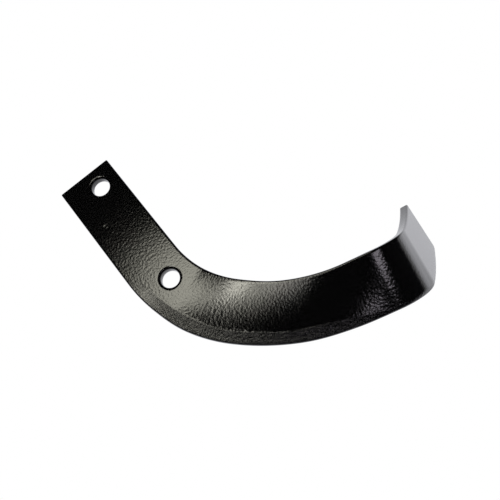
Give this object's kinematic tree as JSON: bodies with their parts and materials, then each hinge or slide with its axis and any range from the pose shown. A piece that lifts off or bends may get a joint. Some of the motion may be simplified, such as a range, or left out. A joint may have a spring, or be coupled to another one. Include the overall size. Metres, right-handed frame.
{
  "type": "rotary tiller blade",
  "caption": "Flat steel tiller blade: straight shank with bolt holes, curved edgewise and twisted, with a forged outer edge and the tip folded over.",
  "frame": {"origin": "centre of the end bolt hole, on the shank's back face", "axes": "+X along the shank from the end hole towards the heel hole, +Y towards the inside of the edgewise curve, +Z out of the front face; the tip folds towards -Z"},
  "size_m": [0.1693, 0.1448, 0.0653],
  "materials": {
    "black_paint": "gloss"
  },
  "bodies": {
    "root": {"tiller_blade": "black_paint"}
  },
  "joints": []
}
